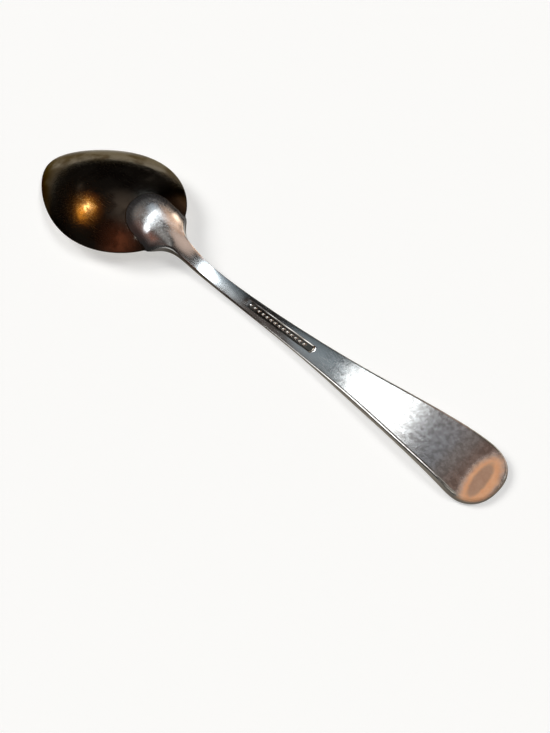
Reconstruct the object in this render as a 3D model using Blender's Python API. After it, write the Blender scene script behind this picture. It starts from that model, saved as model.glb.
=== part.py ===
# A plated teaspoon lying face down: a raised bowl, a handle whose tongue laps the bowl's heel,
# and the solder that joins them. Lengths are millimetres, measured along the spoon from the bowl's tip.
import bmesh
import bpy
import numpy as np

MM = 0.001
SPOON_LENGTH = 138.0

# The bowl is an egg in plan, wider towards the heel, under a dome a little rounder than a parabola across.
BOWL_LENGTH = 41.5
BOWL_HALF_WIDTH = 15.17
EGG_WIDENING = 0.162
EGG_TAPER = -0.136
DOME_HEIGHT = 6.4
DOME_ROUNDNESS = 0.25
DOME_LEAN = 0.03
RIM_SLOPE = 0.204
RIM_SAG = -0.0019
WALL = 1.1
RIM_LAND = 1.2
DOME_REACH = 1.15
DOME_RINGS = 11
DOME_SIDES = 60
SHARP_ANGLE = 35

# The handle is lofted through these stations: (distance from the tip, size).
TONGUE_TIP = 29.8
TONGUE_ROUNDING = 6.0
END_ROUNDING = 8.6
END_SQUARENESS = 2.3
HALF_WIDTHS = [(29.8, 6.0), (34, 6.1), (37.5, 6.35), (40, 6.4), (42, 4.15), (46, 2.2), (52, 1.8),
               (60, 1.9), (70, 2.2), (84, 2.95), (102, 4.7), (119, 6.7), (130, 7.8), (138, 8.35)]
DROP_HEIGHTS = [(30, 0.5), (33, 0.75), (36, 0.95)]
BACK_HEIGHTS = [(42, 6.8), (46, 4.8), (52, 2.95), (60, 2.1), (70, 2.05), (84, 2.4),
                (102, 3.3), (119, 3.9), (127, 3.6), (134, 2.4), (138, 1.9)]
THICKNESSES = [(30, 2.0), (42, 1.8), (47, 2.6), (56, 2.1), (70, 1.8),
               (102, 1.85), (119, 2.0), (134, 2.45), (138, 1.95)]
EDGE_ROUNDING = 0.85
BACK_CROWN = 0.1
NECK_START = 38.0
NECK_END = 50.0
SADDLE_STATION = 40.0
HANDLE_STATIONS = 64
STATION_EASING = 0.9
END_INSET = 0.02
BACK_POINTS = 7
FRONT_POINTS = 5
EDGE_ANGLES = (45, 0, -45)

# The struck recess on the back of the stem.
MARK_START = 65.5
MARK_END = 85.5
MARK_HALF_WIDTH = 0.9
MARK_DEPTH = 0.25
PUNCH_HEIGHT = 1.0
PUNCH_STATIONS = 14

# Offsets from the bowl's back: where the solder begins and ends, and where the handle begins.
SOLDER_INNER = 0.06
SOLDER_OUTER = 0.22
HANDLE_SEAT = 0.28
SKIRT = 4.0


def natural_spline(stations):
    """Return the natural cubic spline through (place, size) stations."""
    place, size = np.array(stations, float).T
    gap = np.diff(place)
    count = len(place)
    system = np.eye(count)
    bend = np.zeros(count)
    for i in range(1, count - 1):
        system[i, i - 1:i + 2] = gap[i - 1], 2 * (gap[i - 1] + gap[i]), gap[i]
        bend[i] = 6 * ((size[i + 1] - size[i]) / gap[i] - (size[i] - size[i - 1]) / gap[i - 1])
    moment = np.linalg.solve(system, bend)

    def value(x):
        k = np.clip(np.searchsorted(place, x) - 1, 0, count - 2)
        a = (place[k + 1] - x) / gap[k]
        b = (x - place[k]) / gap[k]
        curved = (a ** 3 - a) * moment[k] + (b ** 3 - b) * moment[k + 1]
        return a * size[k] + b * size[k + 1] + curved * gap[k] ** 2 / 6

    return value


def smoothstep(x, start, end):
    t = np.clip((x - start) / (end - start), 0, 1)
    return t * t * (3 - 2 * t)


def rim_height(x):
    return RIM_SLOPE * x + RIM_SAG * x ** 2


def cap(q):
    """Height of the dome from 1 at its middle (q = 0) to 0 at its rim (q = 1)."""
    foot = np.sqrt(1 - DOME_ROUNDNESS)
    return (np.sqrt(1 - DOME_ROUNDNESS * q) - foot) / (1 - foot)


def egg(xi):
    return 1 + EGG_WIDENING * xi + EGG_TAPER * xi ** 2


def dome_height(x, y):
    """Height of the bowl's back over a point of its plan."""
    half = BOWL_LENGTH / 2
    xi = x / half - 1
    q = xi ** 2 + (y / (BOWL_HALF_WIDTH * egg(xi))) ** 2
    return rim_height(x) + DOME_HEIGHT * (1 + DOME_LEAN * xi) * cap(np.minimum(q, DOME_REACH))


def dome_rings(grow, rise):
    """Rings of points from the dome's rim to near its middle, the plan grown by grow, the dome by rise."""
    half = BOWL_LENGTH / 2
    turn = np.linspace(0, 2 * np.pi, DOME_SIDES, endpoint=False)
    rings = []
    for i in range(DOME_RINGS, 0, -1):
        r = np.sin(0.5 * np.pi * i / DOME_RINGS)
        xi = r * np.cos(turn)
        x = half + (half + grow) * xi
        y = (BOWL_HALF_WIDTH + grow) * egg(xi) * r * np.sin(turn)
        z = rim_height(x) + (DOME_HEIGHT + rise) * (1 + DOME_LEAN * xi) * cap(r * r)
        rings.append(np.stack([x, y, z], axis=1))
    return rings


def apex(rise):
    half = BOWL_LENGTH / 2
    return np.array([half, 0, rim_height(half) + DOME_HEIGHT + rise])


half_width_line = natural_spline(HALF_WIDTHS)
thickness_line = natural_spline(THICKNESSES)
back_line = natural_spline([(x, dome_height(x, 0) + drop) for x, drop in DROP_HEIGHTS] + BACK_HEIGHTS)


def rounded_end(distance, radius):
    """Share of the full width at a distance from a rounded end."""
    u = np.clip(1 - distance / radius, 0, 1)
    return (1 - u ** END_SQUARENESS) ** (1 / END_SQUARENESS)


def half_width(x):
    tongue = rounded_end(x - TONGUE_TIP, TONGUE_ROUNDING)
    end = rounded_end(SPOON_LENGTH - x, END_ROUNDING)
    return half_width_line(x) * tongue * end


def back_height(x, y, width):
    """Height of the handle's back: the dome's section on the tongue, fading to a slight crown on the stem."""
    saddle = np.minimum(x, SADDLE_STATION)
    dome_section = dome_height(saddle, y) - dome_height(saddle, 0)
    fade = smoothstep(x, NECK_START, NECK_END)
    return back_line(x) + (1 - fade) * dome_section - fade * BACK_CROWN * (y / width) ** 2


def handle_section(x):
    """Closed loop of points across the handle: the back, a rounded edge, the front and the other edge."""
    width = half_width(x)
    edge = min(EDGE_ROUNDING, 0.5 * width)
    thickness = thickness_line(x)
    flat = width - edge
    arc = np.radians(EDGE_ANGLES)
    back_y = np.linspace(-flat, flat, BACK_POINTS)
    front_y = np.linspace(flat, -flat, FRONT_POINTS)
    right_y = flat + edge * np.cos(arc)
    edge_depth = 0.5 * (1 - np.sin(arc))
    y = np.concatenate([back_y, right_y, front_y, -right_y[::-1]])
    depth = np.concatenate([np.zeros(BACK_POINTS), edge_depth, np.ones(FRONT_POINTS), edge_depth[::-1]])
    z = np.maximum(back_height(x, y, width) - depth * thickness, 0)
    return np.stack([np.full_like(y, x), y, z], axis=1)


def handle_places():
    """Stations along the handle, closer together at its two rounded ends."""
    t = np.linspace(0, 1, HANDLE_STATIONS)
    eased = t - STATION_EASING * np.sin(2 * np.pi * t) / (2 * np.pi)
    return TONGUE_TIP + END_INSET + (SPOON_LENGTH - TONGUE_TIP - 2 * END_INSET) * eased


def add_points(bm, points):
    shifted = (points - [SPOON_LENGTH / 2, 0, 0]) * MM
    return [bm.verts.new(p) for p in shifted]


def bridge(bm, loop_a, loop_b):
    count = len(loop_a)
    for i in range(count):
        j = (i + 1) % count
        bm.faces.new((loop_a[i], loop_a[j], loop_b[j], loop_b[i]))


def fan(bm, loop, point):
    for i in range(len(loop)):
        bm.faces.new((loop[i], loop[(i + 1) % len(loop)], point))


def finish_object(name, bm, parent):
    """Turn a finished bmesh into a named object under the spoon's empty."""
    bmesh.ops.recalc_face_normals(bm, faces=bm.faces)
    mesh = bpy.data.meshes.new(name)
    bm.to_mesh(mesh)
    bm.free()
    mesh.shade_smooth()
    mesh.set_sharp_from_angle(angle=np.radians(SHARP_ANGLE))
    piece = bpy.data.objects.new(name, mesh)
    bpy.context.collection.objects.link(piece)
    piece.parent = parent
    return piece


def make_cutter(piece):
    piece.hide_render = True
    piece.display_type = "WIRE"
    return piece


def bowl(parent):
    """The raised shell: the back, the flat ground rim, and the hollow."""
    bm = bmesh.new()
    back = [add_points(bm, ring) for ring in dome_rings(0, 0)]
    hollow = [add_points(bm, ring) for ring in dome_rings(-RIM_LAND, -WALL)]
    for rings, rise in ((back, 0), (hollow, -WALL)):
        for outer, inner in zip(rings, rings[1:]):
            bridge(bm, outer, inner)
        fan(bm, rings[-1], add_points(bm, apex(rise)[None])[0])
    bridge(bm, back[0], hollow[0])
    return finish_object("bowl", bm, parent)


def bowl_block(name, offset, parent):
    """The bowl's back as a solid block, grown by offset, with a skirt below the rim."""
    bm = bmesh.new()
    rings = dome_rings(offset, offset)
    loops = [add_points(bm, rings[0] - [0, 0, SKIRT])]
    loops += [add_points(bm, ring) for ring in rings]
    for outer, inner in zip(loops, loops[1:]):
        bridge(bm, outer, inner)
    fan(bm, loops[-1], add_points(bm, apex(offset)[None])[0])
    bm.faces.new(loops[0])
    return make_cutter(finish_object(name, bm, parent))


def handle_blank(name, parent):
    """The whole handle before it is seated on the bowl."""
    bm = bmesh.new()
    loops = [add_points(bm, handle_section(x)) for x in handle_places()]
    for first, second in zip(loops, loops[1:]):
        bridge(bm, first, second)
    bm.faces.new(loops[0])
    bm.faces.new(loops[-1])
    return finish_object(name, bm, parent)


def mark_punch(parent):
    """The punch for the long recess: straight at one end, rounded at the other, as curved as the stem."""
    bm = bmesh.new()
    places = MARK_START + (MARK_END - MARK_START) * np.sin(np.linspace(0, 0.5 * np.pi, PUNCH_STATIONS))
    loops = []
    for x in places[:-1]:
        width = MARK_HALF_WIDTH * rounded_end(MARK_END - x, MARK_HALF_WIDTH)
        floor = back_line(x) - MARK_DEPTH
        top = floor + PUNCH_HEIGHT
        corners = [(x, -width, floor), (x, width, floor), (x, width, top), (x, -width, top)]
        loops.append(add_points(bm, np.array(corners)))
    for first, second in zip(loops, loops[1:]):
        bridge(bm, first, second)
    bm.faces.new(loops[0])
    bm.faces.new(loops[-1])
    return make_cutter(finish_object("mark_punch", bm, parent))


def cut(piece, tool, operation):
    modifier = piece.modifiers.new(tool.name, "BOOLEAN")
    modifier.operation = operation
    modifier.object = tool


def metal(name, colour, roughness):
    material = bpy.data.materials.new(name)
    material.use_nodes = True
    shader = material.node_tree.nodes["Principled BSDF"]
    shader.inputs["Base Color"].default_value = (*colour, 1)
    shader.inputs["Metallic"].default_value = 1
    shader.inputs["Roughness"].default_value = roughness
    return material


def build():
    for old in list(bpy.data.objects):
        bpy.data.objects.remove(old)
    spoon = bpy.data.objects.new("teaspoon", None)
    bpy.context.collection.objects.link(spoon)
    spoon_bowl = bowl(spoon)
    solder = handle_blank("solder_seam", spoon)
    cut(solder, bowl_block("solder_outside", SOLDER_OUTER, spoon), "INTERSECT")
    cut(solder, bowl_block("solder_inside", SOLDER_INNER, spoon), "DIFFERENCE")
    handle = handle_blank("handle", spoon)
    cut(handle, bowl_block("handle_seat", HANDLE_SEAT, spoon), "DIFFERENCE")
    cut(handle, mark_punch(spoon), "DIFFERENCE")
    spoon_bowl.data.materials.append(metal("polished silver plate", (0.82, 0.80, 0.77), 0.12))
    handle.data.materials.append(metal("worn silver plate", (0.80, 0.78, 0.75), 0.18))
    solder.data.materials.append(metal("silver solder", (0.62, 0.60, 0.56), 0.35))


build()
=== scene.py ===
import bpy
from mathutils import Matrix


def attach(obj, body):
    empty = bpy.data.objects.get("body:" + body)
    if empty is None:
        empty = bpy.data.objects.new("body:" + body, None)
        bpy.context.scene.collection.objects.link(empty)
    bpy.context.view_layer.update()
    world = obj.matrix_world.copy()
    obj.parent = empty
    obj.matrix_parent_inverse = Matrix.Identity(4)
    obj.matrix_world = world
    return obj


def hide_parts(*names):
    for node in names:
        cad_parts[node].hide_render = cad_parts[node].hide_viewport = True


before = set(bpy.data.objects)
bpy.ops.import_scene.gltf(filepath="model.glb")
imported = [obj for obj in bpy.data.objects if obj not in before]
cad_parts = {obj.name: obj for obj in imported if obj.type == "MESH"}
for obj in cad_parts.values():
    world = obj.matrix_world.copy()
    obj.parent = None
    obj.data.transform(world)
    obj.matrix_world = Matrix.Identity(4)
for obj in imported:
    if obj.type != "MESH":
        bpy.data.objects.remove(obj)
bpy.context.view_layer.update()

import bpy
import numpy as np
from mathutils import Matrix, Vector

# a plated teaspoon lying face down, seen on the back of its bowl and handle
# lengths below are millimetres, measured along the spoon from the bowl's tip, and z up from the table
mm = 0.001
spoonLength = 138.0
spoonMiddle = np.array([spoonLength / 2, 0, 0])

scene = bpy.context.scene
scene.view_settings.view_transform = "Standard"


def hexColour(code):
    # sRGB hex to linear red, green, blue and alpha
    srgb = np.array([int(code[i:i + 2], 16) for i in (1, 3, 5)]) / 255
    linear = np.where(srgb <= 0.04045, srgb / 12.92, ((srgb + 0.055) / 1.055) ** 2.4)
    return (*linear.tolist(), 1.0)


def addNode(tree, kind, settings=None, inputs=None):
    # one node, its settings by name, and each input either linked or set
    node = tree.nodes.new(kind)
    for name, value in (settings or {}).items():
        setattr(node, name, value)
    for socket, value in (inputs or {}).items():
        if isinstance(value, bpy.types.NodeSocket):
            tree.links.new(value, node.inputs[socket])
        else:
            node.inputs[socket].default_value = value
    return node


smoothStep = {"interpolation_type": "SMOOTHSTEP"}
colourMix = {"data_type": "RGBA"}       # colours go in at sockets 6 and 7 and come out at 2


def newMaterial(name):
    # an empty node tree to build a finish in
    material = bpy.data.materials.new(name)
    material.use_nodes = True
    material.node_tree.nodes.clear()
    return material, material.node_tree


def ease(x, start, end):
    # smooth step from 0 at start to 1 at end
    t = np.clip((x - start) / (end - start), 0, 1)
    return t * t * (3 - 2 * t)


def curveThrough(stations):
    # natural cubic spline: the bends solve the three-term equations, then each span is a cubic
    place, size = np.array(stations, float).T
    gap = np.diff(place)
    inner = np.arange(1, len(place) - 1)
    system = np.eye(len(place))
    system[inner, inner - 1] = gap[:-1]
    system[inner, inner] = 2 * (gap[:-1] + gap[1:])
    system[inner, inner + 1] = gap[1:]
    bends = np.linalg.solve(system, np.pad(6 * np.diff(np.diff(size) / gap), 1))

    def at(x):
        k = np.clip(np.searchsorted(place, x) - 1, 0, len(place) - 2)
        a = (place[k + 1] - x) / gap[k]
        b = (x - place[k]) / gap[k]
        curved = (a ** 3 - a) * bends[k] + (b ** 3 - b) * bends[k + 1]
        return a * size[k] + b * size[k + 1] + curved * gap[k] ** 2 / 6

    return at


def makePiece(name, points, faces, material, attributes=None):
    # points in millimetres from the bowl's tip go into the mesh in metres, in the frame's place
    mesh = bpy.data.meshes.new(name)
    mesh.from_pydata(((points - spoonMiddle) * mm).tolist(), [], faces)
    for label, values in (attributes or {}).items():
        layer = mesh.attributes.new(label, "FLOAT", "POINT")
        layer.data.foreach_set("value", np.asarray(values, np.float32).ravel())
    mesh.shade_smooth()
    mesh.materials.append(material)
    piece = bpy.data.objects.new(name, mesh)
    scene.collection.objects.link(piece)
    return piece


def gridFaces(index):
    # quads between neighbouring rows and columns of an index grid
    return np.stack([index[:-1, :-1], index[1:, :-1], index[1:, 1:], index[:-1, 1:]], -1).reshape(-1, 4)


def lens(x, y, top, bottom):
    # a closed surface over one plan grid: the top and bottom sheets share the grid's border
    rows, columns = x.shape
    upper = np.arange(rows * columns).reshape(rows, columns)
    lower = upper.copy()
    inside = (rows - 2) * (columns - 2)
    lower[1:-1, 1:-1] = rows * columns + np.arange(inside).reshape(rows - 2, columns - 2)
    above = np.stack([x, y, top], -1).reshape(-1, 3)
    below = np.stack([x, y, bottom], -1)[1:-1, 1:-1].reshape(-1, 3)
    faces = np.concatenate([gridFaces(upper), gridFaces(lower)[:, ::-1]])
    return np.concatenate([above, below]), faces


# bowl

bowlSizes = {
    "length": 41.5,
    "halfWidth": 15.17,
    "widening": 0.162,      # the egg's plan, wider towards the heel
    "taper": -0.136,
    "dome": 6.4,            # height of the back over the rim
    "roundness": 0.25,      # 0 gives a parabola across, 1 a half circle
    "lean": 0.03,
    "rimSlope": 0.204,      # the heel's rim stands off the table
    "rimSag": -0.0019,
    "wall": 1.1,
    "rimLand": 1.2,         # width of the ground rim
    "outerRound": 0.5,      # how far the rim's rounding reaches on the ground face
    "innerRound": 0.22,
    "faceShare": 0.55,      # share of that reach on the back and in the hollow
    "grow": 0.06,           # added to the outline, because the rounding takes a little off
    "sides": 288,
    "backRings": 96,
    "hollowRings": 72,
    "outerSteps": 13,
    "innerSteps": 9,
}
halfBowl = bowlSizes["length"] / 2


def rimHeight(x):
    # a slope along the bowl and a slight sag: slope times x plus sag times x squared
    return bowlSizes["rimSlope"] * x + bowlSizes["rimSag"] * x ** 2


def egg(xi):
    # the plan's half width over an ellipse's, with xi -1 at the tip and 1 at the heel
    return 1 + bowlSizes["widening"] * xi + bowlSizes["taper"] * xi ** 2


def domeShare(q):
    # a circular arc's height, 1 at the middle where q is 0 and 0 at the rim where q is 1
    foot = np.sqrt(1 - bowlSizes["roundness"])
    return (np.sqrt(1 - bowlSizes["roundness"] * q) - foot) / (1 - foot)


def domeHeight(x, y):
    # rim height plus dome height times the arc's share at this point, run on a little past the rim
    xi = x / halfBowl - 1
    q = np.minimum(xi ** 2 + (y / (bowlSizes["halfWidth"] * egg(xi))) ** 2, 1.15)
    return rimHeight(x) + bowlSizes["dome"] * (1 + bowlSizes["lean"] * xi) * domeShare(q)


def domePoints(r, turn, grow, rise):
    # polar grid: the share r of the egg's outline at angle turn, lifted by the dome
    xi = r * np.cos(turn)
    x = halfBowl + (halfBowl + grow) * xi
    y = (bowlSizes["halfWidth"] + grow) * egg(xi) * r * np.sin(turn)
    z = rimHeight(x) + (bowlSizes["dome"] + rise) * (1 + bowlSizes["lean"] * xi) * domeShare(r * r)
    return np.stack(np.broadcast_arrays(x, y, z), -1)


def roundCorner(start, corner, end, steps):
    # cubic Bezier from start to end that bulges towards the sharp corner
    t = np.linspace(0, 1, steps)[:, None, None]
    near = start + 0.75 * (corner - start)
    far = end + 0.75 * (corner - end)
    return (1 - t) ** 3 * start + 3 * t * (1 - t) ** 2 * near + 3 * t ** 2 * (1 - t) * far + t ** 3 * end


def makeBowl(material):
    # rings of points from the crown over the rounded rim into the hollow, one column for each angle
    size = bowlSizes
    turn = np.linspace(0, 2 * np.pi, size["sides"], endpoint=False)[None, :]
    outer = 1 - size["faceShare"] * size["outerRound"] / size["halfWidth"]
    inner = 1 - size["faceShare"] * size["innerRound"] / size["halfWidth"]
    spread = np.sin(0.5 * np.pi * np.linspace(0, 1, size["backRings"] + 1)[1:])[:, None]
    back = domePoints(outer * spread, turn, size["grow"], 0)
    spread = np.sin(0.5 * np.pi * np.linspace(0, 1, size["hollowRings"] + 1)[1:])[:, None]
    hollow = domePoints(inner * spread, turn, -size["rimLand"], -size["wall"])
    edge = domePoints(1.0, turn, size["grow"], 0)
    landOuter = domePoints(1.0, turn, -size["outerRound"], 0)
    landInner = domePoints(1.0, turn, size["innerRound"] - size["rimLand"], 0)
    edgeInner = domePoints(1.0, turn, -size["rimLand"], -size["wall"])
    outerLip = roundCorner(back[-1:], edge, landOuter, size["outerSteps"])
    innerLip = roundCorner(landInner, edgeInner, hollow[-1:], size["innerSteps"])
    rings = np.concatenate([back, outerLip[1:], innerLip, hollow[-2::-1]])
    count, sides = rings.shape[:2]
    crown = domePoints(0.0, 0.0, size["grow"], 0)[None]
    well = domePoints(0.0, 0.0, -size["rimLand"], -size["wall"])[None]
    points = np.concatenate([rings.reshape(-1, 3), crown, well])
    index = np.arange(count * sides).reshape(count, sides)
    index = np.concatenate([index, index[:, :1]], 1)       # the seam closes on the first column
    quads = gridFaces(index)
    top = np.stack([index[0, :-1], index[0, 1:], np.full(sides, count * sides)], -1)
    low = np.stack([index[-1, 1:], index[-1, :-1], np.full(sides, count * sides + 1)], -1)
    faces = quads.tolist() + top.tolist() + low.tolist()
    # 0 on the back and 1 in the hollow, changing over the rim's rings
    inward = np.repeat(ease(np.arange(count), len(back) + 6, len(back) + 20), sides)
    hollowness = np.concatenate([inward, [0, 1]])
    return makePiece("bowl_shell", points, faces, material, {"hollow": hollowness})


# handle

handleSizes = {
    "tongueTip": 29.8,
    "tongueRound": 6.0,
    "endRound": 8.6,
    "squareness": 2.3,      # power of the rounded ends, 2 would be an ellipse
    "halfWidths": [(29.8, 6.0), (34, 6.1), (37.5, 6.35), (40, 6.4), (42, 4.15), (46, 2.2), (52, 1.8),
                   (60, 1.9), (70, 2.2), (84, 2.95), (102, 4.7), (119, 6.7), (130, 7.8), (138, 8.35)],
    "dropHeights": [(30, 0.5), (33, 0.75), (36, 0.95)],      # over the bowl's back
    "backHeights": [(42, 6.8), (46, 4.8), (52, 2.95), (60, 2.1), (70, 2.05), (84, 2.4),
                    (102, 3.3), (119, 3.9), (127, 3.6), (134, 2.4), (138, 1.9)],
    "thicknesses": [(30, 2.0), (42, 1.8), (47, 2.6), (56, 2.1), (70, 1.8),
                    (102, 1.85), (119, 2.0), (134, 2.45), (138, 1.95)],
    "edgeRound": 0.85,
    "stemRound": 0.3,       # on the stem the back's edge is crisp
    "frontRound": 0.9,      # and the front is nearly half round, this share of the half width
    "endShare": 0.5,        # share of the rounding's drop on the back, the rest is on the front
    "stemShare": 0.14,
    "crown": 0.1,
    "seatGap": 0.03,        # between the tongue and the bowl's back
    "columns": 65,
}

# the long struck recess on the back of the stem, fading in at one end and rounded at the other
recessSizes = {
    "start": 65.5,
    "end": 85.5,
    "halfWidth": 0.9,
    "depth": 0.25,
    "soft": 0.1,
    "ramp": 0.4,            # the wall slopes up more gently at the rounded end
    "lead": 5.0,            # length of the fade at the other end
    "dotStart": 1.1,        # a plain row of raised dots fills the recess
    "dotPitch": 1.25,
    "dotRadius": 0.42,
    "dotHeight": 0.18,
    "dotCount": 14,
}

widthLine = curveThrough(handleSizes["halfWidths"])
thicknessLine = curveThrough(handleSizes["thicknesses"])
dropLine = [(x, domeHeight(x, 0) + drop) for x, drop in handleSizes["dropHeights"]]
backLine = curveThrough(dropLine + handleSizes["backHeights"])


def endReach(x, grow):
    # how far into each rounded end a place is, 0 before it and 1 at its tip
    tongue = 1 - (x - handleSizes["tongueTip"] + grow) / (handleSizes["tongueRound"] + grow)
    end = 1 - (spoonLength - x) / handleSizes["endRound"]
    return np.clip(tongue, 0, 1), np.clip(end, 0, 1)


def halfWidth(x, grow=0.0):
    # the width line times (1 - tongue^p - end^p)^(1/p), which rounds both ends off
    tongue, end = endReach(x, grow)
    power = handleSizes["squareness"]
    return (widthLine(x) + grow) * np.maximum(1 - tongue ** power - end ** power, 0) ** (1 / power)


def edgeShare(x, y, grow=0.0):
    # tongue^p + end^p + (y / width)^p: 0 along the middle and 1 on the outline
    power = handleSizes["squareness"]
    tongue, end = endReach(x, grow)
    return tongue ** power + end ** power + (np.abs(y) / (widthLine(x) + grow)) ** power


def edgeDistance(x, y, grow=0.0):
    # the share's distance from 1 over its slope
    power = handleSizes["squareness"]
    tongue, end = endReach(x, grow)
    width = widthLine(x) + grow
    flare = (widthLine(x + 0.01) - widthLine(x - 0.01)) / 0.02
    across = np.abs(y) / width
    total = edgeShare(x, y, grow)
    along = (end ** (power - 1) / handleSizes["endRound"]
             - tongue ** (power - 1) / (handleSizes["tongueRound"] + grow)
             - across ** power * flare / width)
    sideways = across ** (power - 1) / width
    slope = power * np.sqrt(along ** 2 + sideways ** 2) + 1e-6
    return np.maximum((1 - total) / slope, 0)


def backHeight(x, y):
    # the bowl's own section on the tongue, fading to a slight crown on the stem
    saddle = np.minimum(x, 40)
    section = domeHeight(saddle, y) - domeHeight(saddle, 0)
    fade = ease(x, 38, 50)
    crown = handleSizes["crown"] * (y / np.maximum(widthLine(x), 1)) ** 2
    return backLine(x) + (1 - fade) * section - fade * crown


def heelBack(y):
    # how far the bowl's outline falls back from its heel at this distance from the middle,
    # found by putting each guess back into the egg's formula
    xi = np.ones_like(y)
    for step in range(12):
        xi = np.sqrt(1 - np.clip(y / (bowlSizes["halfWidth"] * egg(xi)), -0.9, 0.9) ** 2)
    return halfBowl * (1 - xi)


def planGrid(places, columns, grow=0.0):
    # rows across the handle, bent near the heel so that one row lies on the bowl's outline
    heel = bowlSizes["length"]
    bend = ease(places, 36, heel) * (1 - ease(places, heel, 47))
    reach = halfWidth(places, grow)
    for step in range(40):
        reach = 0.5 * reach + 0.5 * halfWidth(places - bend * heelBack(reach), grow)
    spread = np.sin(0.5 * np.pi * np.linspace(-1, 1, columns))
    y = reach[:, None] * spread[None, :]
    x = places[:, None] - bend[:, None] * heelBack(y)
    return x, y


def roundedEdge(distance, reach):
    # share of the thickness lost at the rounded edge, a quarter ellipse
    return 1 - np.sqrt(np.maximum(1 - (1 - np.minimum(distance / reach, 1)) ** 2, 0))


def recessDepth(x, y):
    # 1 in the recess and 0 outside, from the distance to its outline, and 1 on each dot of the row
    size = recessSizes
    beyond = np.maximum(x - (size["end"] - size["halfWidth"]), 0)
    side = np.hypot(beyond, y) - size["halfWidth"]
    soft = size["soft"] + (size["ramp"] - size["soft"]) * ease(x, size["end"] - 1, size["end"] - 0.2)
    fade = ease(x, size["start"] - 1, size["start"] - 1 + size["lead"])
    pit = (1 - ease(side, -soft, soft)) * fade
    first = size["start"] + size["dotStart"]
    nearest = np.clip(np.round((x - first) / size["dotPitch"]), 0, size["dotCount"] - 1)
    dot = np.hypot(x - first - nearest * size["dotPitch"], y)
    return pit, 1 - ease(dot, 0.4 * size["dotRadius"], size["dotRadius"])


def makeHandle(material):
    # rows across the handle: the back less its edge's rounding above, the front plus its own below
    size = handleSizes
    quarter = 0.5 * np.pi * np.linspace(0.03, 1, 44)
    tip = size["tongueTip"] + size["tongueRound"] * (1 - np.cos(quarter))
    end = spoonLength - size["endRound"] * (1 - np.cos(quarter[::-1]))
    heel = bowlSizes["length"]
    # rows lie closest round both ends and along the recess
    places = np.concatenate([
        tip, np.arange(36.0, heel, 0.25), [heel, heel + bowlSizes["grow"]], np.arange(41.8, 60, 0.3),
        np.arange(60, 65, 0.4), np.arange(65, 86.2, 0.1), np.arange(86.5, 129.2, 0.45), end])
    x, y = planGrid(places, size["columns"])
    distance = edgeDistance(x, y)
    back = backHeight(x, y)
    onBowl = (places <= heel)[:, None]
    front = np.where(onBowl, domeHeight(x, y) + size["seatGap"], np.maximum(back - thicknessLine(x), 0))
    thick = back - front
    soft = np.minimum(edgeShare(x, y), 1)           # the drop is a low mound that ends on the bowl
    onStem = ease(x, 39, 44)
    slim = ease(x, 42, 48) * (1 - ease(x, 80, 104))     # 1 along the slim stem
    reach = np.minimum(size["edgeRound"], 0.5 * widthLine(x))
    backLoss = roundedEdge(distance, reach + slim * (size["stemRound"] - reach))
    backLoss = onStem * backLoss + (1 - onStem) * soft
    frontLoss = roundedEdge(distance, reach + slim * (size["frontRound"] * widthLine(x) - reach))
    frontLoss = onStem * frontLoss + (1 - onStem) * soft
    # the tongue is rounded only on its back
    topShare = 1 - (1 - size["endShare"]) * ease(x, 41, 47) - (size["endShare"] - size["stemShare"]) * slim
    pit, dots = recessDepth(x, y)
    fall = thick + ease(places, 38, heel)[:, None] * (thicknessLine(x) - thick)     # no step at the heel
    top = back - topShare * fall * backLoss
    bottom = front + (1 - topShare) * thick * frontLoss
    top += recessSizes["dotHeight"] * dots * pit - recessSizes["depth"] * pit
    points, faces = lens(x, y, top, bottom)
    inner = (slice(1, -1), slice(1, -1))
    sunk = ease(pit, 0.02, 0.3) * (1 - dots)
    recess = np.concatenate([sunk.ravel(), np.zeros_like(pit[inner]).ravel()])
    # distance from the outline for the rim's painted shade: the rim is narrower on the stem,
    # and on the front the whole of the rounding counts as rim
    shown = distance * (1 + slim)
    shownBelow = np.maximum(distance[inner] - size["edgeRound"], 0)
    edge = np.concatenate([shown.ravel(), shownBelow.ravel()])
    return makePiece("handle_bar", points, faces.tolist(), material, {"recess": recess, "edge": edge})


# solder

solderSizes = {
    "reach": 0.16,          # how far the bead shows outside the tongue
    "bead": 0.12,
    "film": 0.02,
    "blend": 0.05,          # width over which the bead gives way to the film
    "lift": 0.004,          # clear of the bowl's back
    "columns": 65,
}


def makeSolder(material):
    # a film under the tongue that rises to a small bead along the tongue's edge
    size = solderSizes
    grow = size["reach"]
    quarter = 0.5 * np.pi * np.linspace(0.03, 1, 60)
    tip = handleSizes["tongueTip"] - grow + (handleSizes["tongueRound"] + grow) * (1 - np.cos(quarter))
    last = bowlSizes["length"] - 0.05       # it stops just short of the heel
    places = np.concatenate([tip, np.arange(36.0, 41.4, 0.2), [last]])
    x, y = planGrid(places, size["columns"], grow)
    distance = edgeDistance(x, y, grow)
    bottom = domeHeight(x, y) + size["lift"]
    within = ease(distance, grow, grow + size["blend"])
    bead = size["bead"] * np.clip(distance / grow, 0, 1) ** 1.5 * (1 - within)
    film = size["film"] * within
    ending = 1 - ease(places, last - 0.25, last)[:, None]
    points, faces = lens(x, y, bottom + (bead + film) * ending, bottom)
    return makePiece("solder_bead", points, faces.tolist(), material)


# finishes

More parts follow.
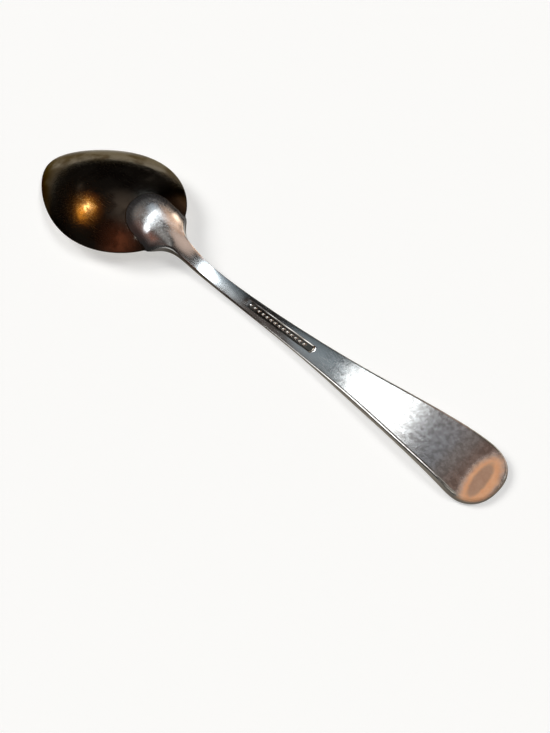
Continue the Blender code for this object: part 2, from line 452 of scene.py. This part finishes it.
def hairlines(tree, place, turns, length, width):
    # fine straight scratches: noise stretched along each of a few directions, only its crests kept
    # real ones are a few hundredths of a millimetre wide, these are drawn about 0.1 mm wide to show
    crests = None
    for turn in turns:
        laid = addNode(tree, "ShaderNodeMapping", None, {
            "Vector": place, "Rotation": (0.0, 0.0, np.radians(turn)),
            "Scale": (1 / (length * mm), 1 / (width * mm), 1 / (width * mm))})
        noise = addNode(tree, "ShaderNodeTexNoise", None, {
            "Vector": laid.outputs[0], "Scale": 1.0, "Detail": 1.0})
        line = addNode(tree, "ShaderNodeMapRange", smoothStep, {
            "Value": noise.outputs["Fac"], "From Min": 0.58, "From Max": 0.72})
        if crests is None:
            crests = line.outputs[0]
        else:
            both = addNode(tree, "ShaderNodeMath", {"operation": "MAXIMUM"}, {
                0: crests, 1: line.outputs[0]})
            crests = both.outputs[0]
    return crests


def bowlPlate():
    # silver plate toned brown with age and darkened further as a painted reflection of a dark room: a dark
    # clear mirror, cloudy in places, with faint hairlines
    material, tree = newMaterial("toned silver plate")
    place = addNode(tree, "ShaderNodeTexCoord").outputs["Object"]
    axes = addNode(tree, "ShaderNodeSeparateXYZ", None, {0: place})
    clouds = addNode(tree, "ShaderNodeTexNoise", None, {
        "Vector": place, "Scale": 1 / (6 * mm), "Detail": 4.0, "Roughness": 0.62})
    cloud = addNode(tree, "ShaderNodeMapRange", smoothStep, {
        "Value": clouds.outputs["Fac"], "From Min": 0.42, "From Max": 0.6})
    # tarnish tones made darker to paint in the dark room's reflection
    tonedAndShaded = addNode(tree, "ShaderNodeMix", colourMix, {
        "Factor": cloud.outputs[0], 6: hexColour("#8A8377"), 7: hexColour("#635B51")})
    # painted shade, darkest along the rim from the tip to the near side where the metal mirrors a shadowed
    # floor, and a painted dark reflection beside the drop
    lean = addNode(tree, "ShaderNodeVectorMath", {"operation": "DOT_PRODUCT"}, {
        0: place, 1: (-0.5, -0.87, 0.0)})
    side = addNode(tree, "ShaderNodeMapRange", smoothStep, {
        "Value": lean.outputs["Value"], "From Min": 33 * mm, "From Max": 39 * mm})
    low = addNode(tree, "ShaderNodeMapRange", smoothStep, {
        "Value": axes.outputs["Z"], "From Min": 7 * mm, "From Max": 3 * mm})
    shade = addNode(tree, "ShaderNodeMath", {"operation": "MULTIPLY"}, {
        0: side.outputs[0], 1: low.outputs[0]})
    corner = addNode(tree, "ShaderNodeVectorMath", {"operation": "DISTANCE"}, {
        0: place, 1: (-31.5 * mm, 7.5 * mm, 6.5 * mm)})
    inCorner = addNode(tree, "ShaderNodeMapRange", smoothStep, {
        "Value": corner.outputs["Value"], "From Min": 9 * mm, "From Max": 5 * mm})
    # the painted shade's colour along the rim, then the darker painted reflection beside the drop
    shaded = addNode(tree, "ShaderNodeMix", colourMix, {
        "Factor": shade.outputs[0], 6: tonedAndShaded.outputs[2], 7: hexColour("#332B24")})
    backToneAndShade = addNode(tree, "ShaderNodeMix", colourMix, {
        "Factor": inCorner.outputs[0], 6: shaded.outputs[2], 7: hexColour("#1B1612")})
    hollow = addNode(tree, "ShaderNodeAttribute", {"attribute_name": "hollow"})
    colour = addNode(tree, "ShaderNodeMix", colourMix, {
        "Factor": hollow.outputs["Fac"], 6: backToneAndShade.outputs[2], 7: hexColour("#CFC8BC")})
    lines = hairlines(tree, place, (20, -35, 75), 7.0, 0.11)
    rough = addNode(tree, "ShaderNodeMapRange", None, {
        "Value": cloud.outputs[0], "To Min": 0.09, "To Max": 0.17})
    rougher = addNode(tree, "ShaderNodeMath", {"operation": "MULTIPLY_ADD"}, {
        0: lines, 1: 0.12, 2: rough.outputs[0]})
    bump = addNode(tree, "ShaderNodeBump", None, {"Strength": 0.25, "Distance": 0.01 * mm, "Height": lines})
    shader = addNode(tree, "ShaderNodeBsdfPrincipled", None, {
        "Base Color": colour.outputs[2], "Metallic": 1.0, "Roughness": rougher.outputs[0],
        "Specular Tint": hexColour("#A8A195"), "Normal": bump.outputs[0]})
    addNode(tree, "ShaderNodeOutputMaterial", None, {"Surface": shader.outputs[0]})
    return material


# where the plate is rubbed through at the handle's end: the outlines of the copper and of the bare
# nickel silver inside it, measured from the middle of the spoon
rubSizes = {
    "copperMiddle": 65.4,
    "copperHalves": (2.9, 6.6),
    "nickelMiddle": 65.0,
    "nickelHalves": (1.65, 5.2),
    "aside": -1.1,          # towards the near side
    "turn": 6,
}


def handlePlate():
    # silver plate dulled by use: scratched and speckled, darker on the tongue and in the recess, with
    # painted shade along its outer edge, rubbed through to a copper ring where the end's back touches the
    # table with the spoon face up
    material, tree = newMaterial("worn silver plate")
    place = addNode(tree, "ShaderNodeTexCoord").outputs["Object"]
    axes = addNode(tree, "ShaderNodeSeparateXYZ", None, {0: place})
    edge = addNode(tree, "ShaderNodeAttribute", {"attribute_name": "edge"}).outputs["Fac"]
    recess = addNode(tree, "ShaderNodeAttribute", {"attribute_name": "recess"}).outputs["Fac"]
    speckles = addNode(tree, "ShaderNodeTexNoise", None, {
        "Vector": place, "Scale": 1 / (1.3 * mm), "Detail": 5.0, "Roughness": 0.74})
    patches = addNode(tree, "ShaderNodeTexNoise", None, {
        "Vector": place, "Scale": 1 / (7 * mm), "Detail": 3.0, "Roughness": 0.6})
    lines = hairlines(tree, place, (8, -28, 52, -70), 4.0, 0.09)

    # darker on the tongue, most near its edge, blending into the bowl; painted shade on the outer edge,
    # where the sides mirror a shadowed floor; and darker in the recess
    fromBowl = addNode(tree, "ShaderNodeMapRange", smoothStep, {
        "Value": axes.outputs["X"], "From Min": -25 * mm, "From Max": -29 * mm})
    nearEdge = addNode(tree, "ShaderNodeMapRange", smoothStep, {
        "Value": edge, "From Min": 4.6, "From Max": 0.8})
    tongue = addNode(tree, "ShaderNodeMath", {"operation": "MULTIPLY"}, {
        0: fromBowl.outputs[0], 1: nearEdge.outputs[0]})
    # painted shade on the rounding and sides of the outer edge
    outside = addNode(tree, "ShaderNodeMapRange", smoothStep, {
        "Value": edge, "From Min": 0.34, "From Max": 0.2})
    rimShadeAndRecess = addNode(tree, "ShaderNodeMath", {"operation": "MAXIMUM"}, {
        0: outside.outputs[0], 1: recess})
    darkeningAndShade = addNode(tree, "ShaderNodeMath", {"operation": "MAXIMUM"}, {
        0: tongue.outputs[0], 1: rimShadeAndRecess.outputs[0]})

    # bright plate, greyed by fine specks towards the wide end
    bright = addNode(tree, "ShaderNodeMix", colourMix, {
        "Factor": patches.outputs["Fac"], 6: hexColour("#EAEAE8"), 7: hexColour("#D9D8D5")})
    wide = addNode(tree, "ShaderNodeMapRange", smoothStep, {
        "Value": axes.outputs["X"], "From Min": 12 * mm, "From Max": 36 * mm})
    specks = addNode(tree, "ShaderNodeMapRange", smoothStep, {
        "Value": speckles.outputs["Fac"], "From Min": 0.62, "From Max": 0.38})
    mottle = addNode(tree, "ShaderNodeMath", {"operation": "MULTIPLY"}, {
        0: wide.outputs[0], 1: specks.outputs[0]})
    silver = addNode(tree, "ShaderNodeMix", colourMix, {
        "Factor": mottle.outputs[0], 6: bright.outputs[2], 7: hexColour("#BBB8B4")})

    # the darkening of the rim and the recess is deeper on the stem and round the end than between them, and
    # grey on the tongue; on the rim it is painted shade
    stem = addNode(tree, "ShaderNodeMapRange", smoothStep, {
        "Value": axes.outputs["X"], "From Min": 8 * mm, "From Max": -2 * mm})
    nose = addNode(tree, "ShaderNodeMapRange", smoothStep, {
        "Value": axes.outputs["X"], "From Min": 57 * mm, "From Max": 63 * mm,
        "To Min": 0.0, "To Max": 0.5})
    stemAndNose = addNode(tree, "ShaderNodeMath", {"operation": "MAXIMUM"}, {
        0: stem.outputs[0], 1: nose.outputs[0]})
    offTongue = addNode(tree, "ShaderNodeMath", {"operation": "SUBTRACT"}, {
        0: stemAndNose.outputs[0], 1: fromBowl.outputs[0]})
    tone = addNode(tree, "ShaderNodeMix", colourMix, {
        "Factor": offTongue.outputs[0], 6: hexColour("#77726A"), 7: hexColour("#443F39")})
    lap = addNode(tree, "ShaderNodeMix", colourMix, {
        "Factor": fromBowl.outputs[0], 6: tone.outputs[2], 7: hexColour("#525050")})
    tonedAndShaded = addNode(tree, "ShaderNodeMix", colourMix, {
        "Factor": darkeningAndShade.outputs[0], 6: silver.outputs[2], 7: lap.outputs[2]})

    # the rubbed oval: distances from the middles of its two outlines, in units of their half lengths
    radii = []
    for metal in ("nickel", "copper"):
        halfX, halfY = rubSizes[metal + "Halves"]
        oval = addNode(tree, "ShaderNodeMapping", {"vector_type": "TEXTURE"}, {
            "Vector": place, "Location": (rubSizes[metal + "Middle"] * mm, rubSizes["aside"] * mm, 0.0),
            "Rotation": (0.0, 0.0, np.radians(rubSizes["turn"])), "Scale": (halfX * mm, halfY * mm, 1.0)})
        radius = addNode(tree, "ShaderNodeVectorMath", {"operation": "LENGTH"}, {0: oval.outputs[0]})
        radii.append(radius.outputs["Value"])
    blotches = addNode(tree, "ShaderNodeTexNoise", None, {
        "Vector": place, "Scale": 1 / (1.6 * mm), "Detail": 4.0, "Roughness": 0.7})
    inner = addNode(tree, "ShaderNodeMath", {"operation": "MULTIPLY_ADD"}, {
        0: blotches.outputs["Fac"], 1: 0.5, 2: radii[0]})
    outer = addNode(tree, "ShaderNodeMath", {"operation": "MULTIPLY_ADD"}, {
        0: blotches.outputs["Fac"], 1: 0.5, 2: radii[1]})
    through = addNode(tree, "ShaderNodeMapRange", smoothStep, {
        "Value": outer.outputs[0], "From Min": 1.7, "From Max": 1.04})
    onFace = addNode(tree, "ShaderNodeMapRange", smoothStep, {
        "Value": edge, "From Min": 0.0, "From Max": 0.3})
    onBack = addNode(tree, "ShaderNodeMapRange", smoothStep, {
        "Value": axes.outputs["Z"], "From Min": 0.8 * mm, "From Max": 1.2 * mm})
    worked = addNode(tree, "ShaderNodeMath", {"operation": "MULTIPLY"}, {
        0: onFace.outputs[0], 1: onBack.outputs[0]})
    rubbed = addNode(tree, "ShaderNodeMath", {"operation": "MULTIPLY"}, {
        0: through.outputs[0], 1: worked.outputs[0]})
    middleOval = addNode(tree, "ShaderNodeMapRange", smoothStep, {
        "Value": inner.outputs[0], "From Min": 1.36, "From Max": 0.96})
    bare = addNode(tree, "ShaderNodeMath", {"operation": "MULTIPLY"}, {
        0: middleOval.outputs[0], 1: rubbed.outputs[0]})
    copper = addNode(tree, "ShaderNodeMix", colourMix, {
        "Factor": blotches.outputs["Fac"], 6: hexColour("#F8C8A0"), 7: hexColour("#DE9464")})
    nickel = addNode(tree, "ShaderNodeMix", colourMix, {
        "Factor": blotches.outputs["Fac"], 6: hexColour("#CCA78E"), 7: hexColour("#A47A62")})
    coppered = addNode(tree, "ShaderNodeMix", colourMix, {
        "Factor": rubbed.outputs[0], 6: tonedAndShaded.outputs[2], 7: copper.outputs[2]})
    colour = addNode(tree, "ShaderNodeMix", colourMix, {
        "Factor": bare.outputs[0], 6: coppered.outputs[2], 7: nickel.outputs[2]})

    # roughness: higher towards the wide end and the bowl, more on the scratches, satin where rubbed
    towardsEnd = addNode(tree, "ShaderNodeMapRange", smoothStep, {
        "Value": axes.outputs["X"], "From Min": 26 * mm, "From Max": 56 * mm,
        "To Min": 0.07, "To Max": 0.16})
    hazy = addNode(tree, "ShaderNodeMapRange", None, {
        "Value": fromBowl.outputs[0], "To Min": 0.06, "To Max": 0.3})
    towardsBowl = addNode(tree, "ShaderNodeMapRange", smoothStep, {
        "Value": axes.outputs["X"], "From Min": -14 * mm, "From Max": -22 * mm,
        "To Min": 0.0, "To Max": 0.07})
    plain = addNode(tree, "ShaderNodeMath", {"operation": "ADD"}, {
        0: towardsEnd.outputs[0], 1: towardsBowl.outputs[0]})
    scratched = addNode(tree, "ShaderNodeMath", {"operation": "MULTIPLY_ADD"}, {
        0: lines, 1: hazy.outputs[0], 2: plain.outputs[0]})
    worn = addNode(tree, "ShaderNodeMath", {"operation": "MULTIPLY_ADD"}, {
        0: rubbed.outputs[0], 1: 0.36, 2: scratched.outputs[0]})
    grain = addNode(tree, "ShaderNodeMath", {"operation": "MULTIPLY_ADD"}, {
        0: lines, 1: 0.12, 2: mottle.outputs[0]})
    # where scratches lie thick the metal turns partly dull, on the tongue and on the rubbed oval
    haze = addNode(tree, "ShaderNodeMapRange", None, {
        "Value": nearEdge.outputs[0], "To Min": 0.06, "To Max": 0.3})
    dulled = addNode(tree, "ShaderNodeMath", {"operation": "MULTIPLY"}, {
        0: fromBowl.outputs[0], 1: haze.outputs[0]})
    bared = addNode(tree, "ShaderNodeMath", {"operation": "MULTIPLY_ADD"}, {
        0: rubbed.outputs[0], 1: 0.88, 2: dulled.outputs[0]})
    metallic = addNode(tree, "ShaderNodeMath", {"operation": "SUBTRACT"}, {0: 1.0, 1: bared.outputs[0]})
    bump = addNode(tree, "ShaderNodeBump", None, {
        "Strength": 0.35, "Distance": 0.01 * mm, "Height": grain.outputs[0]})
    shader = addNode(tree, "ShaderNodeBsdfPrincipled", None, {
        "Base Color": colour.outputs[2], "Metallic": metallic.outputs[0], "Roughness": worn.outputs[0],
        "Specular Tint": hexColour("#CFC8BE"), "Normal": bump.outputs[0]})
    addNode(tree, "ShaderNodeOutputMaterial", None, {"Surface": shader.outputs[0]})
    return material


def solderMetal():
    # hard solder left unpolished and dulled brown: a thin dark line round the drop
    material, tree = newMaterial("dulled silver solder")
    place = addNode(tree, "ShaderNodeTexCoord").outputs["Object"]
    grain = addNode(tree, "ShaderNodeTexNoise", None, {
        "Vector": place, "Scale": 1 / (0.5 * mm), "Detail": 3.0})
    colour = addNode(tree, "ShaderNodeMix", colourMix, {
        "Factor": grain.outputs["Fac"], 6: hexColour("#4A4238"), 7: hexColour("#2A251F")})
    bump = addNode(tree, "ShaderNodeBump", None, {
        "Strength": 0.4, "Distance": 0.03 * mm, "Height": grain.outputs["Fac"]})
    shader = addNode(tree, "ShaderNodeBsdfPrincipled", None, {
        "Base Color": colour.outputs[2], "Metallic": 1.0, "Roughness": 0.42, "Normal": bump.outputs[0]})
    addNode(tree, "ShaderNodeOutputMaterial", None, {"Surface": shader.outputs[0]})
    return material


bowlPiece = makeBowl(bowlPlate())
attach(bowlPiece, "root")
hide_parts("bowl")
print("bowl:", len(bowlPiece.data.polygons), "faces")

handlePiece = makeHandle(handlePlate())
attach(handlePiece, "root")
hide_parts("handle")
print("handle:", len(handlePiece.data.polygons), "faces")

solderPiece = makeSolder(solderMetal())
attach(solderPiece, "root")
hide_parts("solder_seam")
print("solder:", len(solderPiece.data.polygons), "faces")


# floor, lamps and camera

floorLook = {
    "colour": "#D1D0CD",
    "radius": 3000.0,
    "glow": 0.44,           # the paper's own white, seen by the camera and in the metal
}


def makeFloor():
    # a flat round sheet: rows are circles, columns are spokes
    turn = np.linspace(0, 2 * np.pi, 97)
    radius = np.geomspace(20, floorLook["radius"], 24)[:, None]
    x = radius * np.cos(turn)
    y = radius * np.sin(turn)
    points = np.stack([x, y, np.zeros_like(x)], -1).reshape(-1, 3)
    index = np.arange(points.shape[0]).reshape(x.shape)
    index[:, -1] = index[:, 0]
    material, tree = newMaterial("pale paper")
    paper = addNode(tree, "ShaderNodeBsdfDiffuse", None, {"Color": hexColour(floorLook["colour"])})
    path = addNode(tree, "ShaderNodeLightPath")
    mirrored = addNode(tree, "ShaderNodeMath", {"operation": "MAXIMUM"}, {
        0: path.outputs["Is Glossy Ray"], 1: path.outputs["Is Transmission Ray"]})
    seen = addNode(tree, "ShaderNodeMath", {"operation": "MAXIMUM"}, {
        0: path.outputs["Is Camera Ray"], 1: mirrored.outputs[0]})
    level = addNode(tree, "ShaderNodeMath", {"operation": "MULTIPLY"}, {
        0: seen.outputs[0], 1: floorLook["glow"]})
    glow = addNode(tree, "ShaderNodeEmission", None, {
        "Color": hexColour("#FFFFFF"), "Strength": level.outputs[0]})
    both = addNode(tree, "ShaderNodeAddShader", None, {0: paper.outputs[0], 1: glow.outputs[0]})
    addNode(tree, "ShaderNodeOutputMaterial", None, {"Surface": both.outputs[0]})
    mesh = bpy.data.meshes.new("floor")
    mesh.from_pydata((points * mm).tolist(), [], gridFaces(index).tolist() + [index[0, :-1].tolist()])
    mesh.materials.append(material)
    floor = bpy.data.objects.new("floor", mesh)
    scene.collection.objects.link(floor)
    return floor


floor = makeFloor()
print("floor laid")

world = bpy.data.worlds.new("dark room")
world.use_nodes = True
world.node_tree.nodes["Background"].inputs["Color"].default_value = hexColour("#242221")
scene.world = world

# lit cards with honeycomb grids, seen only in the metal: middle, size, turn in degrees, the place aimed at,
# the grid's full angle, brightness (1 is paper white), colour, and whether the card is oval
cards = {
    # the window, as the handle, the stem and the drop mirror it
    "windowHandle": {"at": (-11.5, 48, 100), "size": (27, 42), "aim": (37, -1, 3), "grid": 40, "glow": 3.0,
                     "colour": "#F6FBFF"},
    "windowFrame": {"at": (-36, 50, 100), "size": (15, 34), "aim": (22, 0, 3), "grid": 30, "glow": 0.4,
                    "colour": "#CFE2EE"},
    "windowStem": {"at": (-22.3, 13.5, 40), "size": (4.2, 21), "aim": (-16.5, 0, 3), "grid": 30,
                   "glow": 5.0, "colour": "#EAF6FF"},
    "windowStemFar": {"at": (-23.5, 38, 36), "size": (4.4, 30), "aim": (-16.5, 1.2, 3), "grid": 30,
                      "glow": 4.0, "colour": "#EAF6FF"},
    "windowStemEdge": {"at": (-25.1, 18, 40), "size": (1.8, 36), "aim": (-13, 0, 3), "grid": 30,
                       "glow": 0.5, "colour": "#CFE2EE"},
    "windowDropLow": {"at": (-31.5, -4.6, 15), "size": (1.4, 7), "turn": 10, "aim": (-32.2, -3.2, 8),
                      "grid": 28, "glow": 5.0, "colour": "#F0F8FF", "round": True},
    "windowDrop": {"at": (-29.8, 22, 100), "size": (5, 88), "turn": 9, "aim": (-32, -2, 8.5), "grid": 55,
                   "glow": 6.0, "colour": "#F0F8FF", "round": True},
    # a thin light along the near edge
    "edgeLamp": {"at": (2, -68, 82), "size": (64, 56), "aim": (45, -5, 3), "grid": 44, "glow": 3.0},
    "edgeLampStem": {"at": (-32, -70, 82), "size": (36, 56), "aim": (27, -4, 3), "grid": 34, "glow": 3.0},
    # pale walls round and over the handle, which keep it silver from every side
    "noseWall": {"at": (170, 0, 75), "size": (90, 200), "aim": (66, 0, 3), "grid": 80, "glow": 0.36,
                 "colour": "#F2E8D6"},
    "farWall": {"at": (52, 155, 62), "size": (110, 62), "aim": (48, 3, 3), "grid": 40, "glow": 1.0,
                "colour": "#F6E6CE"},
    "nearWall": {"at": (62, -150, 78), "size": (110, 70), "aim": (62, 0, 3), "grid": 30, "glow": 1.1,
                 "colour": "#F4EEE6"},
    "bowlWall": {"at": (-100, 0, 52), "size": (34, 80), "aim": (41, 0, 3), "grid": 24, "glow": 1.1,
                 "colour": "#F4EEE6"},
    "slantWall": {"at": (165, -108, 46), "size": (60, 120), "aim": (48, 0, 3), "grid": 34, "glow": 1.1,
                  "colour": "#F4EEE6"},
    "slantWallFar": {"at": (150, 104, 52), "size": (60, 110), "aim": (44, 0, 3), "grid": 30, "glow": 1.1,
                     "colour": "#F4EEE6"},
    "slantWallLeft": {"at": (-60, 106, 52), "size": (60, 110), "aim": (40, 0, 3), "grid": 36, "glow": 1.1,
                      "colour": "#F4EEE6"},
    "slantWallNear": {"at": (-60, -106, 52), "size": (60, 110), "aim": (40, 0, 3), "grid": 36, "glow": 1.1,
                      "colour": "#F4EEE6"},
    "topWall": {"at": (58, 0, 120), "size": (110, 70), "aim": (58, 0.1, 3), "grid": 30, "glow": 1.0,
                "colour": "#F4EEE6"},
    # glints in the recess
    "recessLamp": {"at": (-40.6, 23.5, 40), "size": (30, 30), "aim": (8, 0, 2), "grid": 36, "glow": 12.0},
    # a dim wall at the end's near corner
    "cornerWall": {"at": (92, -66, 84), "size": (74, 80), "aim": (62, -6, 3), "grid": 70, "glow": 0.6,
                   "colour": "#F2E8D6"},
    # the window's haze and upper part on the drop
    "windowGlow": {"at": (-44, 66, 100), "size": (44, 84), "aim": (-34, 0, 8.5), "grid": 36, "glow": 0.7,
                   "colour": "#DCEEFF", "round": True},
    "windowDropHigh": {"at": (-35, 66, 100), "size": (4.5, 50), "turn": 9, "aim": (-32.5, 2, 8.5),
                       "grid": 40, "glow": 3.5, "colour": "#F0F8FF", "round": True},
    # dim walls over the wide end, from cool to warm
    "sideWall": {"at": (19, 48, 100), "size": (38, 46), "aim": (48, 0, 4), "grid": 50, "glow": 0.31,
                 "colour": "#F0F4FF"},
    "midWall": {"at": (49, 47, 100), "size": (24, 48), "aim": (54, 0, 4), "grid": 50, "glow": 0.27,
                "colour": "#F8EAE6"},
    "endWall": {"at": (86, 46, 100), "size": (52, 54), "aim": (60, 0, 4), "grid": 60, "glow": 0.3,
                "colour": "#FFD0BC"},
    # warm walls and lamps in the neck
    "neckWall": {"at": (16, 55, 100), "size": (44, 40), "aim": (-24, 0, 6), "grid": 44, "glow": 0.75,
                 "colour": "#FFE2D2"},
    "warmWall": {"at": (-15, 150, 100), "size": (52, 170), "turn": 15, "aim": (-28, 3, 7), "grid": 70,
                 "glow": 1.15, "colour": "#FFD2B4"},
    "warmLamp": {"at": (-17, 290, 100), "size": (62, 90), "aim": (-28, 4, 7), "grid": 40, "glow": 1.9,
                 "colour": "#FFE4CA"},
    "neckLamp": {"at": (-33, 150, 40), "size": (30, 40), "aim": (-29.5, 4.6, 6.8), "grid": 30, "glow": 3.0,
                 "colour": "#FFE9D2"},
    "neckGrey": {"at": (-4, 6, 100), "size": (24, 44), "aim": (-29, -2, 7), "grid": 30, "glow": 0.4,
                 "colour": "#F0ECE8"},
    # the dim ceiling over the bowl
    "ceiling": {"at": (-58, 15, 104), "size": (130, 170), "aim": (-36, 0, 8), "grid": 50, "glow": 0.2,
                "colour": "#FFEADF"},
    # a gold lamp on the bowl's back, brightest in its core
    "goldGlow": {"at": (-134, -43, 102), "size": (92, 84), "aim": (-49, -9, 8), "grid": 40, "glow": 1.2,
                 "colour": "#A85F1A", "round": True},
    "goldShade": {"at": (-138, -45, 101), "size": (60, 54), "aim": (-49, -9, 8), "grid": 32, "glow": 2.4,
                  "colour": "#D8902C", "round": True},
    "goldLobe": {"at": (-150, -66, 101), "size": (34, 30), "aim": (-49, -9, 8), "grid": 32, "glow": 2.6,
                 "colour": "#D08828", "round": True},
    "goldCore": {"at": (-134, -41, 100), "size": (20, 18), "aim": (-47, -8, 8), "grid": 20, "glow": 14.0,
                 "colour": "#FFD490", "round": True},
    # a faint red glow on the bowl, deepest in its middle
    "redGlow": {"at": (-30, -74, 139), "size": (150, 150), "aim": (-38, -8, 7), "grid": 60, "glow": 0.1,
                "colour": "#FF9468", "round": True},
    "redWall": {"at": (-30, -76, 138), "size": (105, 105), "aim": (-38, -8, 7), "grid": 60, "glow": 0.12,
                "colour": "#FF9468", "round": True},
    "redCore": {"at": (-30, -78, 137), "size": (60, 60), "aim": (-38, -8, 7), "grid": 60, "glow": 0.14,
                "colour": "#FF9468", "round": True},
}


def hangCard(name, card):
    # an area lamp that the camera and dull surfaces don't see
    lamp = bpy.data.lights.new(name, "AREA")
    lamp.shape = "ELLIPSE" if card.get("round") else "RECTANGLE"
    lamp.size = card["size"][0] * mm
    lamp.size_y = card["size"][1] * mm
    lamp.spread = np.radians(card["grid"])
    # the grid brightens its axis by tan a / (tan a - a), where a is half its angle
    half = lamp.spread / 2
    area = lamp.size * lamp.size_y * (np.pi / 4 if card.get("round") else 1)
    lamp.energy = card["glow"] * np.pi * area * (np.tan(half) - half) / np.tan(half)
    lamp.color = hexColour(card.get("colour", "#FFFFFF"))[:3]
    hung = bpy.data.objects.new(name, lamp)
    # the card faces the place aimed at, its width as near along the turned x axis as that allows
    turn = np.radians(card.get("turn", 0))
    back = np.array(card["at"], float) - np.array(card["aim"], float)
    back /= np.linalg.norm(back)
    width = np.array([np.cos(turn), np.sin(turn), 0.0])
    width -= back * (width @ back)
    width /= np.linalg.norm(width)
    matrix = np.eye(4)
    matrix[:3] = np.stack([width, np.cross(back, width), back, np.array(card["at"]) * mm], 1)
    hung.matrix_world = Matrix(matrix.tolist())
    hung.visible_camera = False
    hung.visible_diffuse = False
    scene.collection.objects.link(hung)


for name, card in cards.items():
    hangCard(name, card)

# two soft lamps light the paper and throw the spoon's shadows, and leave the highlights to the cards
softLamps = {
    "key": {"azimuth": -111, "elevation": 44, "angle": 30, "strength": 2.1},
    "fill": {"azimuth": 62, "elevation": 58, "angle": 30, "strength": 1.25},
}
for name, look in softLamps.items():
    lamp = bpy.data.lights.new(name, "SUN")
    lamp.energy = look["strength"]
    lamp.angle = np.radians(look["angle"])
    hung = bpy.data.objects.new(name, lamp)
    across, lift = np.radians([look["azimuth"], look["elevation"]])
    towards = Vector((np.sin(across) * np.cos(lift), np.cos(across) * np.cos(lift), np.sin(lift)))
    hung.rotation_euler = towards.to_track_quat("Z", "Y").to_euler()
    hung.visible_glossy = False
    scene.collection.objects.link(hung)

# the camera fitted to the photo, in degrees and millimetres
viewLook = {
    "azimuth": 44.1546,
    "elevation": 56.1445,
    "roll": -1.7457,
    "target": (13.8564, -9.6847, 4.0),
    "distance": 384.2521,
    "lens": 85.77,
    "filmHeight": 36.0,
}


def makeCamera():
    # looks back along the line from the target, turned by the roll
    azimuth, elevation, roll = np.radians([viewLook[key] for key in ("azimuth", "elevation", "roll")])
    level = np.cos(elevation)
    back = np.array([np.sin(azimuth) * level, -np.cos(azimuth) * level, np.sin(elevation)])
    across = np.array([np.cos(azimuth), np.sin(azimuth), 0])
    upright = np.cross(back, across)
    right = across * np.cos(roll) + upright * np.sin(roll)
    up = upright * np.cos(roll) - across * np.sin(roll)
    place = (np.array(viewLook["target"]) + back * viewLook["distance"]) * mm
    lensData = bpy.data.cameras.new("view")
    lensData.sensor_fit = "VERTICAL"
    lensData.sensor_height = viewLook["filmHeight"]
    lensData.lens = viewLook["lens"]
    lensData.clip_start = 0.01
    camera = bpy.data.objects.new("view", lensData)
    matrix = np.eye(4)
    matrix[:3] = np.stack([right, up, back, place], 1)
    camera.matrix_world = Matrix(matrix.tolist())
    scene.collection.objects.link(camera)
    return camera


scene.camera = makeCamera()
print("lamps and camera placed")
